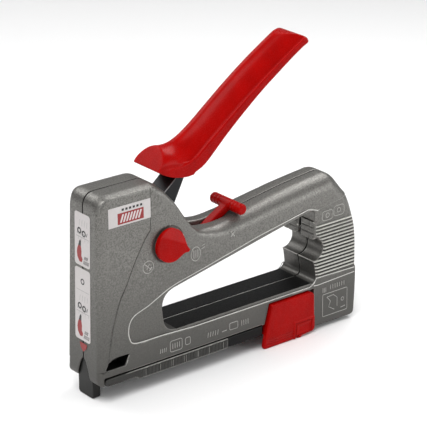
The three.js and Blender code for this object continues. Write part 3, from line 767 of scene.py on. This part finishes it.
plaque = [frame_stroke((51.5, 60.4), (8.6, 15.6), 1.2), *bars(53.4, 10.4, 4, 1.7, 3.4),
          frame_stroke((63, 66.6), (10, 14.6), 1), *bars(44, 10, 4, 1.4, 2.6, 0.4),
          *bars(80, 9.8, 5, 1.9, 3.2, 0.5), stroke((91, 10.4), (94.6, 10.6)),
          frame_stroke((97, 103.4), (9.8, 14.2), 0.9), *bars(106.4, 10.2, 4, 1.7, 3.4)]
# The lip, foot and window lines are thin raised wires in a light finish: painted highlights along those
# edges.
lip = stroke((198.6, 24.2), *((x, z) for x, z, _ in recess_outline().points if x < 169 and z < 72.4))
foot_line = stroke((163.4, 21.2), (165.4, 20.2), (168, 19.9), (199, 21))
window_line = stroke((4.8, 9.8), (18.7, 9.8), (20.4, 13))
for side, left in (("left", True), ("right", False)):
    relief(f"recess_lip_{side}", [lip], 0.26, left, lift=0.4, finish="cast_lip")
    relief(f"foot_line_{side}", [foot_line], 0.26, left, finish="cast_lip")
    relief(f"window_line_{side}", [window_line], 0.18, left, finish="cast_lip")
    relief(f"badge_{side}", badge, left=left)
    relief(f"plaque_{side}", plaque, 0.24, left)
relief("selector_marks", [*low_power, *high_power, *hand_mark])
relief("data_panel_left", data_panel, 0.26)


# ---- handle

GRIP_LOWER = Outline(47.4, 122.3)
GRIP_LOWER.through((52, 119.4), (57, 117.2), (63, 115.6), (69, 114.9), (73.4, 115.3)).line(74.6, 116.6)
GRIP_LOWER.through((79, 118.4), (84.8, 122.5), (99.8, 136.2), (122.6, 154.6), (145.6, 170.4), (156.5, 177.2))
GRIP_CREST = polygon((20, 130), (50, 132.2))
GRIP_CREST.through((55.9, 133.2), (60.5, 132.8), (65, 133.4), (70, 135.4), (76.5, 138.8), (84.2, 144),
                   (91.7, 149.8), (106.8, 161.3), (122, 172), (137.4, 181.6))
GRIP_CREST.lines((180, 207), (180, 40), (20, 40))
GRIP_RIM = polygon((20, 122), (50, 122.8))
GRIP_RIM.through((54, 122.6), (59.5, 122.4), (65.6, 122.6), (72.2, 124.2), (78.2, 127.8), (85.6, 133.6),
                 (108.2, 150.4), (131, 166), (146.4, 175.6))
GRIP_RIM.lines((180, 196), (180, 40), (20, 40))
GRIP_END = polygon((20, 60), (20, 184.4), (132, 184.4), (141, 184.9))
GRIP_END.through((150.5, 185), (156, 184), (160.2, 181.8), (161.6, 179)).line(162, 60)


def crown(off_seam, along):
    """How far the grip's back has come down from its crest to its rim, at a distance from the seam.
    The beak's back is one even arch. Behind it is a round ridge, a hollow and a thin raised rim."""
    arch = 1 - np.sqrt(np.clip(1 - (off_seam / 12.3) ** 2, 0, 1))
    ridge = np.cos(math.pi * off_seam / 21.6)
    rim = 0.12 * np.exp(-((off_seam - 12.3) / 0.9) ** 2) - 0.08
    back = 1 - (ridge + rim + np.hypot(ridge - rim, 0.08)) / 2
    share = ramp(along - 65, 16)
    return arch * (1 - share) + back * share


def grip_field(s):
    fall = crown(s.off_seam, s.deep_x)
    back = s.side(GRIP_CREST) * (1 - fall) + s.side(GRIP_RIM) * fall
    half = GRIP_HALF - 0.8 * (1 - ramp(s.deep_x - 56, 16))
    solid = meet(s.side(GRIP_END), s.off_seam - half, 2.4)
    solid = meet(solid, back, 0.7)
    above = Outline(20, 139.5)
    above.points.extend(GRIP_LOWER.points)
    solid = meet(solid, s.side(above.lines((161.6, 179.4), (190, 192), (190, 260), (20, 260))), 0.8)
    front = ((47.4 - s.deep_x) * 10.9 + (s.deep_z - 122.3) * 8.5) / math.hypot(10.9, 8.5)
    solid = meet(solid, front, 0.5)
    arm = s.near(s.side(arm_band(-4, 7.8)), ARM_HALF + GAP)
    return cut(solid, arm, 0.4)


def arm_band(below, above):
    """A band along the stretch of the grip's lower edge that the steel arm follows."""
    run = [(63, 115.4), (73.2, 115.1), (79, 117.8), (84.8, 122.5), (99.8, 136.2), (122.6, 154.6)]
    lower = [(x, z + below) for x, z in run]
    upper = [(x, z + above) for x, z in reversed(run)]
    return polygon(*lower, *upper)


def claw_outline():
    turn = math.radians(17)
    claw = Outline(0, -5).line(0, 5).line(-27, 2.3).arc((-27, 0), 2.3, math.pi / 2, 1.5 * math.pi, 10)
    points = [(LEVER_PIVOT[0] + u * math.cos(turn) - v * math.sin(turn),
               LEVER_PIVOT[1] + u * math.sin(turn) + v * math.cos(turn)) for u, v, _ in claw.points]
    return polygon(*points)


def arm_field(s):
    arm = polygon((40, 91.6), (44, 91.8), (60, 96), (63.4, 98.5), (70.1, 112), (72.5, 119), (66, 119),
                  (64.2, 113.8), (57, 107.8), (50, 101.9), (46, 103), (40, 104.4))
    profile = np.minimum(s.side(arm), s.bore(LEVER_PIVOT, 6.5))
    profile = np.minimum(profile, s.side(arm_band(1, 7.4)))
    solid = meet(profile, s.off_seam - ARM_HALF, 0.5)
    solid = join(solid, meet(s.side(claw_outline()), s.off_seam - 5.5, 0.5), 0.3)
    return cut(solid, s.bore(LEVER_PIVOT, 3.15), 0.3)


moulded("grip", "handle_grip", "handle", "red_plastic", FINE, grip_field)
moulded("steel_arm", "lever_arm", "handle", "black_steel", SMALL * 1.3, arm_field)


# ---- force selector and handle latch

DIAL_TURN = math.radians(-26)   # where the pointer looks at rest


def along_and_aside(s, centre, run, rise):
    """How far samples lie along a direction in the side view, and to the left of it."""
    u, v = s.x - centre[0], s.z - centre[1]
    return u * run + v * rise, v * run - u * rise


def dial_field(s):
    """A plate with one side sloped for the thumb, on a stepped shaft. A ridge runs along the slope's edge
    to the pointer."""
    slope, ridge = 0.42, 2.9
    along, aside = along_and_aside(s, DIAL, math.cos(DIAL_TURN), math.sin(DIAL_TURN))
    pointer = meet((np.abs(aside) + 0.42 * (along - 9) - 3.1) / math.hypot(1, 0.42), along - 14.3, 0.7)
    pointer = np.maximum(pointer, -along)
    outline = join(circle(s.x, s.z, DIAL, DIAL_RADIUS), pointer, 2.0)[:, None, :]
    face = -PROUD_HALF_WIDTH - s.y
    beyond = aside[:, None, :] - ridge
    sloped = (face + slope * beyond) / math.hypot(1, slope)
    plate = meet(meet(outline, s.y + 16.05, 0.3), meet(face, sloped, 0.2), 0.6)
    shaft = np.maximum(s.bore(DIAL, 4), np.maximum(-17 - s.y, s.y + 8.6))
    journal = np.maximum(s.bore(DIAL, 2.4), np.maximum(-9 - s.y, s.y + 4.7))
    return join(join(plate, shaft, 0.2), journal, 0.2)


def latch_field(s):
    """A ridged cross bar on a tapered stem that turns on a pin."""
    run = np.array(LATCH_BAR) - np.array(LATCH_PIVOT)
    length = float(np.hypot(*run))
    along, aside = along_and_aside(s, LATCH_PIVOT, *(run / length))
    along, aside = along[:, None, :], aside[:, None, :]
    stem = meet(np.abs(aside) - 2.2, s.off_seam - 2.9, 0.7)
    stem = np.maximum(stem, np.maximum(-along, along - length))
    half = LATCH_BAR_LENGTH / 2
    groove = 0.22 * np.clip(np.cos(2 * math.pi * (s.off_seam - 5.2) / 2.9), -0.2, 1)
    groove = groove * (s.off_seam > 4.4) * (s.off_seam < 12.6)
    bar = meet(s.bore(LATCH_BAR, LATCH_BAR_RADIUS) + np.maximum(groove, 0), s.off_seam - half, 1.5)
    hub = meet(s.bore(LATCH_PIVOT, 3.8), s.off_seam - 2.9, 0.4)
    return cut(join(join(bar, stem, 1.0), hub, 0.4), s.bore(LATCH_PIVOT, 1.7), 0.3)


moulded("dial", "selector_dial", "dial", "red_plastic", SMALL, dial_field)
moulded("latch", "handle_latch", "latch", "red_plastic", SMALL, latch_field)


# ---- magazine

def head_outline():
    head = Outline(124.8, -10.7).lines((152.2, -10.7), (154.6, -9.5), (161.9, -9.1))
    head.curve((164.3, -8.6), 164.4, -6).line(164, 14).curve((163.8, 17.6), 160.4, 17.6)
    head.lines((129.3, 17.6), (123.8, -4), (122.9, -9))
    return head.curve((122.9, -10.7), 124.8, -10.7)


def button_outline(grow=0.0):
    (x0, _, z0), (x1, _, z1) = node_box("release_button_left")
    return (x0 - grow, x1 + grow), (z0 - grow, z1 + grow)


def head_field(s):
    outline = s.side(head_outline())
    lines = 0.55 * np.abs(2 * (((s.z + 9.6) / 1.5) % 1) - 1)
    striped = ramp(rectangle(s.x, s.z, (125.5, 146.6), (-8.6, -4)), 0.5)
    half = PROUD_HALF_WIDTH - 0.5 - (lines * (1 - striped))
    lug = rectangle(s.x, s.z, (147.2, 170), (-20, 1.2))
    half = half + 0.5 * (1 - ramp(lug, 0.8))
    notch = circle(s.x, s.z, (149.6, -8.9), 1.7)
    half = half - 1.2 * (1 - ramp(notch, 0.5))
    solid = meet(outline, s.off_seam - half[:, None, :], 1.0)
    solid = cut(solid, s.near(s.block((110, 170), (4.6, 30)), CHEEK_INNER + GAP), 0.4)
    solid = cut(solid, s.near(s.block((110, 149.9), (-2, 10)), 8.3))
    channel_low = node_box("magazine_channel")[0][2]
    solid = cut(solid, s.near(s.block((110, 146), (-20, channel_low)), 16))
    solid = cut(solid, s.near(s.block((110, 123.7), (-2, 10)), HALF_WIDTH + GAP))
    well = np.maximum(rectangle(s.x, s.z, *button_outline(GAP))[:, None, :], 12.4 - s.off_seam)
    spring = s.bore(node_centre("button_spring_left"), 2.4)
    solid = cut(solid, well, 0.35)
    return cut(solid, np.maximum(spring, s.slab(9, 15)), 0.2)


def channel_field(s):
    """The magazine's body: a step near the nose, fine ticks along the side and a smooth rear block."""
    low, high = node_box("magazine_channel")
    pivot_x, pivot_z = MAGAZINE_PIVOT
    profile = polygon((pivot_x, pivot_z - 2.4), (26, pivot_z - 2.4), (28.3, low[2]), (123.4, low[2]),
                      (123.4, pivot_z + 2.4), (pivot_x, pivot_z + 2.4))
    profile.arc(MAGAZINE_PIVOT, 2.4, math.pi / 2, 1.5 * math.pi, 10)
    tick = 0.22 * (np.abs(((s.x - 29) / 2.4) % 1 - 0.5) < 0.2)
    long_tick = 0.45 * (np.abs(((s.x - 29) / 9.6) % 1 - 0.5) < 0.05)
    ticked = ramp(rectangle(s.x, s.z, (29.5, 95), (-1.1, 3.9)), 0.5)
    half = HALF_WIDTH - 0.1 - np.maximum(tick, long_tick) * (1 - ticked)
    half = half - 0.4 * ramp(s.x - 95.6, 0.6)
    solid = meet(s.side(profile), s.off_seam - half[:, None, :], 0.55)
    solid = join(solid, meet(s.block((122.4, high[0]), (low[2], 4.2)), s.off_seam - 8, 0.4), 0.2)
    solid = join(solid, meet(s.block((118.5, 123.4), (3, high[2])), s.off_seam - 5.6, 0.4), 0.2)
    solid = cut(solid, s.near(s.block((-5, 9.6), (-5, 10)), 12.3))
    solid = cut(solid, s.near(s.block((14, 116), (-8, 2.2)), 13.4))
    solid = cut(solid, np.maximum(s.bore(MAGAZINE_PIVOT, 1.3), s.slab(11.8, 16.2)), 0.2)
    rod = np.hypot(s.y, s.deep_z - 9.3) - 1.65
    return cut(solid, np.maximum(rod, 110 - s.deep_x), 0.2)


def button_field(s, side):
    (x0, x1), (z0, z1) = button_outline()
    across = np.maximum(14.6 - s.y * side, s.y * side - PROUD_HALF_WIDTH)
    dish = 0.5 * (1 - ramp(rectangle(s.x, s.z, (x0 + 1.6, x1 - 1.4), (z0 + 1.4, z1 - 1.4)), 1.6))
    face = s.y * side - PROUD_HALF_WIDTH + dish[:, None, :]
    return meet(meet(s.block((x0, x1), (z0, z1)), across, 0.6), face, 0.4)


moulded("head", "magazine_head", "magazine", "red_plastic", SMALL * 1.2, head_field)
channel = moulded("channel", "magazine_channel", "magazine", "cast_rail", SMALL * 1.4, channel_field,
                  ["cast_rail", "cast_shaded"])
# painted shade on the rear of the channel
repaint(channel, PAINTED_SHADE, (95.4, 124), (-20, 20))
for name, side in (("left", -1), ("right", 1)):
    moulded(f"button_{name}_face", f"release_button_{name}", f"button_{name}", "red_plastic", SMALL,
            lambda samples: button_field(samples, side))


# ---- nose plate and screws

def nose_plate_field(s):
    low, high = node_box("nose_plate")
    front = meet(s.off_seam - high[1], np.maximum(low[2] - s.deep_z, s.deep_z - high[2]), 2.2)
    plate = meet(front, np.maximum(low[0] - s.deep_x, s.deep_x - high[0]), 0.6)
    return cut(plate, s.near(s.block((2.8, 20), (-30, 40)), 6.5), 0.3)


def screw_field(s, centre):
    shank = meet(s.bore(centre, 1.8), np.maximum(-9.5 - s.y, s.y - 13.1), 0.3)
    dome = (s.y - 15.1) + s.bore(centre, 0) ** 2 * 0.035
    head = meet(s.bore(centre, 3.4), np.maximum(12.6 - s.y, dome), 0.3)
    u, v = s.x - centre[0], s.z - centre[1]
    hexagon = np.maximum(np.abs(v), np.maximum(np.abs(0.866 * u + 0.5 * v), np.abs(0.866 * u - 0.5 * v)))
    socket = np.maximum(hexagon[:, None, :] - 1.45, 13.5 - s.y)
    return cut(join(shank, head, 0.2), socket, 0.15)


moulded("nose", "nose_plate", "frame", "dark_steel", SMALL * 0.8, nose_plate_field)
for number, centre in enumerate(SCREWS, 1):
    moulded(f"screw_{number}", f"housing_screw_{number}", "frame", "dark_steel", SMALL * 0.7,
            lambda samples: screw_field(samples, centre), ["screw_steel"], margin=0.5)


# ---- springs

CLOSED_STEPS = 20   # of a spring's wire lie flat at each end


def spring(node, body, axis, radius, thickness, turns, joint=None, keep=1.0, fixed_high=True):
    """A coil with closed ends in its node's box, along axis 0, 1 or 2. thickness is half the wire's."""
    low, high = node_box(node)
    middle = (low + high) / 2
    start, end = low[axis] + thickness, high[axis] - thickness
    steps = np.arange(turns * STEPS_PER_TURN + 1)
    turn = 2 * math.pi * steps / STEPS_PER_TURN
    share = np.clip((steps - CLOSED_STEPS) / (steps[-1] - 2 * CLOSED_STEPS), 0, 1)
    points = np.tile(middle, (len(steps), 1))
    points[:, axis] = start + (end - start) * share
    points[:, (axis + 1) % 3] += radius * np.cos(turn)
    points[:, (axis + 2) % 3] += radius * np.sin(turn)
    holder = bpy.data.objects.new(node, wire(node, [(points, False)], thickness, 3))
    mesh = bpy.data.meshes.new_from_object(holder)
    mesh.shade_smooth()
    bpy.data.objects.remove(holder)
    piece = dress(add_object(f"{node}_coil", mesh), body, "spring_steel", node=node)
    if joint:
        anchor = middle.copy()
        anchor[axis] = high[axis] if fixed_high else low[axis]
        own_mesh(piece)


spring("main_spring", "frame", 2, 5.9, 0.95, 6, "hammer_lift", 0.54)
spring("pusher_spring", "magazine", 0, 2.5, 0.35, 15, "pusher_slide", 0.2)
spring("lever_return_spring", "frame", 2, 2.7, 0.45, 6, "handle_squeeze", 0.48)
spring("detent_spring", "frame", 1, 1.1, 0.22, 4)
spring("button_spring_left", "magazine", 1, 1.6, 0.28, 4, "button_left_press", 0.6)
spring("button_spring_right", "magazine", 1, 1.6, 0.28, 4, "button_right_press", 0.6, fixed_high=False)


# ---- stickers

def box_print(u_span, v_span):
    (u0, u1), (v0, v1) = u_span, v_span
    return [[(u0, v0), (u1, v0), (u1, v1), (u0, v1)]]


def ring_print(u, v, outer, inner):
    angles = np.linspace(0, 2 * math.pi, STEPS_PER_TURN + 1)
    quads = []
    for a, b in zip(angles, angles[1:]):
        quads.append([(u + r * math.cos(t), v + r * math.sin(t))
                      for r, t in ((inner, a), (outer, a), (outer, b), (inner, b))])
    return quads


def slanted_prints(u_span, v_span, count, width):
    """Slanted strokes that fill a rectangle from left to right."""
    (u0, u1), (v0, v1) = u_span, v_span
    starts = np.linspace(u0, u1 - width * 2.5, count)
    return [[(u, v0), (u + width, v0), (u + width * 2.5, v1), (u + width * 1.5, v1)] for u in starts]


def row_print(u_span, v_span, count, pitch):
    """A row of upright bars, of which the first fills the spans."""
    return [shape for k in range(count)
            for shape in box_print((u_span[0] + k * pitch, u_span[1] + k * pitch), v_span)]


STICKER_FINISHES = ["label_vinyl", "black_ink", "red_ink", "grey_ink", "white_ink"]
VINYL, BLACK, RED, GREY, WHITE = range(5)   # places in that list


def sticker(name, node, place, sheet, prints):
    """A vinyl sheet with printed shapes. place() turns (u, v, lift) into tool millimetres."""
    layers = [(sheet, VINYL, 0.0, SHEET_THICKNESS)]
    layers += [(shapes, ink, SHEET_THICKNESS, INK_THICKNESS) for shapes, ink in prints]
    vertices, faces, slots = [], [], []
    for shapes, ink, lift, depth in layers:
        for shape in shapes:
            base = len(vertices)
            count = len(shape)
            vertices += [to_frame(place(u, v, lift)) for u, v in shape]
            vertices += [to_frame(place(u, v, lift + depth)) for u, v in shape]
            faces.append([base + k for k in reversed(range(count))])
            faces.append([base + count + k for k in range(count)])
            for k in range(count):
                after = (k + 1) % count
                faces.append([base + k, base + after, base + count + after, base + count + k])
            slots += [ink] * (count + 2)
    mesh = bpy.data.meshes.new(name)
    mesh.from_pydata(vertices, [], faces)
    mesh.polygons.foreach_set("material_index", slots)
    dress(add_object(name, mesh), "frame", "label_vinyl", STICKER_FINISHES, node)


def on_side(u, v, lift):
    return (u, -half_width(v) - STICKER_CLEARANCE - lift, v)


def on_front(u, v, lift):
    """u runs across the front face, towards the selector's side."""
    lean = 2.3 / (108.5 - 5)
    return (lean * (v - 5) - STICKER_CLEARANCE - lift, -u, v)


(x0, _, z0), (x1, _, z1) = node_box("side_label")
block = box_print((x0 + 6.4, x1 - 5), (z0 + 1, z0 + 7.8))
stripes = slanted_prints((x0 + 8, x1 - 6.2), (z0 + 2, z0 + 6.8), 7, 1.2)
dashes = row_print((x0 + 9.4, x0 + 11), (z0 + 8.9, z0 + 10.3), 6, 2.6)
sticker("side_sticker", "side_label", on_side, box_print((x0, x1), (z0, z1)),
        [(block, RED), (dashes, BLACK)])
PRINTED = 0.03   # the stripes lie over the block's ink
sticker("side_sticker_stripes", "side_label", lambda u, v, lift: on_side(u, v, lift + PRINTED),
        [], [(stripes, WHITE)])


def pictogram(low, top):
    """Generic prints down a front sticker: rings and short lines over a leaf shape and hatching."""
    middle = low + 17.5
    rings = ring_print(-2.9, top - 9.6, 2, 1) + ring_print(1.5, top - 10.6, 2, 1)
    rings += slanted_prints((3.9, 6), (top - 11.8, top - 9.4), 1, 0.5)
    specks = row_print((-5.2, -4.5), (middle + 1.6, middle + 2.9), 7, 1.5)
    tip = [[(-4, low + 12.2), (-1.4, low + 12), (-1.2, low + 15.2), (-2, low + 16.2), (-3, low + 15)]]
    leaf = [[(-5.4, low + 7.6), (-4.8, low + 4.6), (-2.8, low + 2.2), (-0.4, low + 2.4), (0.2, low + 4.4),
             (-1, low + 6), (-0.8, low + 9), (-1.4, low + 12), (-4, low + 12.2), (-5, low + 10)]]
    hatch = slanted_prints((0.8, 6.6), (low + 1.6, low + 4), 6, 0.45)
    hatch += slanted_prints((1.6, 5.6), (low + 4.6, low + 6.8), 4, 0.5)
    ticks = slanted_prints((-4, 6), (middle - 1.9, middle), 4, 0.25)
    rule = box_print((-6, 6.4), (middle, middle + 0.4))
    rule += slanted_prints((-3, 5), (top - 6.4, top - 2.6), 4, 0.3)
    return [(rings + tip + hatch, BLACK), (leaf, RED), (specks + ticks + rule, GREY)]


PICTOGRAM_HEIGHT = 31

for node in ("front_label_upper", "front_label_lower"):
    (_, y0, z0), (_, y1, z1) = node_box(node)
    sheet, _ = frame_stroke((y0, y1), (z0, z1), 1.8)
    prints = pictogram(z0, min(z1, z0 + PICTOGRAM_HEIGHT))
    if z1 - z0 > PICTOGRAM_HEIGHT + 5:
        prints += [(ring_print(0, z1 - 8, 1.9, 1.1), BLACK),
                   (box_print((-6, 6), (z1 - 14, z1 - 13.7)), GREY)]
    sticker(node.replace("label", "sticker"), node, on_front, [sheet], prints)

pointer = [(0.4, 18.4), (3.2, 20.8), (4.2, 23.9), (-3.2, 23.9), (-2.2, 20.8)]
sticker("nose_mark", "front_label_lower", on_front, [], [([pointer], RED)])


# ---- floor, light and camera

def floor():
    mesh = bpy.data.meshes.new("floor")
    reach, level = 4.0, CAD_LOW.z
    mesh.from_pydata([(-reach, -reach, level), (reach, -reach, level), (reach, reach, level),
                      (-reach, reach, level)], [], [(0, 1, 2, 3)])
    mesh.materials.append(matt_sheet("floor_paper", (0.9, 0.9, 0.9), 0.8, 0.01))
    add_object("floor", mesh)


def aim(name, data, azimuth, elevation, away, target):
    """Holds a lamp or camera at a distance from a point that it looks at. Azimuth 0 is in front of the
    selector's side, and 90 is behind the rear."""
    a, e = math.radians(azimuth), math.radians(elevation)
    direction = Vector((math.sin(a) * math.cos(e), -math.cos(a) * math.cos(e), math.sin(e)))
    holder = add_object(name, data)
    holder.location = Vector(target) + direction * away
    holder.rotation_mode = "QUATERNION"
    holder.rotation_quaternion = direction.to_track_quat("Z", "Y")
    return holder


def lamp(name, azimuth, elevation, away, width, height, power):
    """A soft box round the tool."""
    light = bpy.data.lights.new(name, "AREA")
    light.shape = "RECTANGLE"
    light.size, light.size_y, light.energy = width, height, power
    aim(name, light, azimuth, elevation, away, (0, 0, 0.09))


def camera():
    data = bpy.data.cameras.new("camera")
    data.lens, data.sensor_width = 168.7, 36
    data.clip_start, data.clip_end = 0.05, 20
    bpy.context.scene.camera = aim("camera", data, -38.7, 21.9, 1.17225, (-0.02570, -0.02846, 0.10516))


def studio():
    """A white ceiling that fades to a dim horizon."""
    world = bpy.data.worlds.new("studio")
    nodes = Nodes(world, "Generated")
    background = nodes.tree.nodes["Background"].inputs
    nodes.set(background["Color"], (1, 1, 1, 1))
    nodes.set(background["Strength"], nodes.levels(nodes.parts["Z"], 0.0, 0.8, 0.1, 0.4))
    bpy.context.scene.world = world


floor()
camera()
lamp("key", -60, 58, 0.9, 0.6, 0.6, 6)
lamp("top_right", 105, 52, 0.9, 0.5, 0.5, 4)
lamp("left_strip", -50, 12, 1.0, 0.16, 0.8, 1.2)
lamp("right_front", 46, 13, 1.1, 0.9, 0.45, 4.5)
lamp("back", -165, 40, 1.1, 0.9, 0.6, 4.5)
studio()
bpy.context.scene.view_settings.view_transform = "Standard"
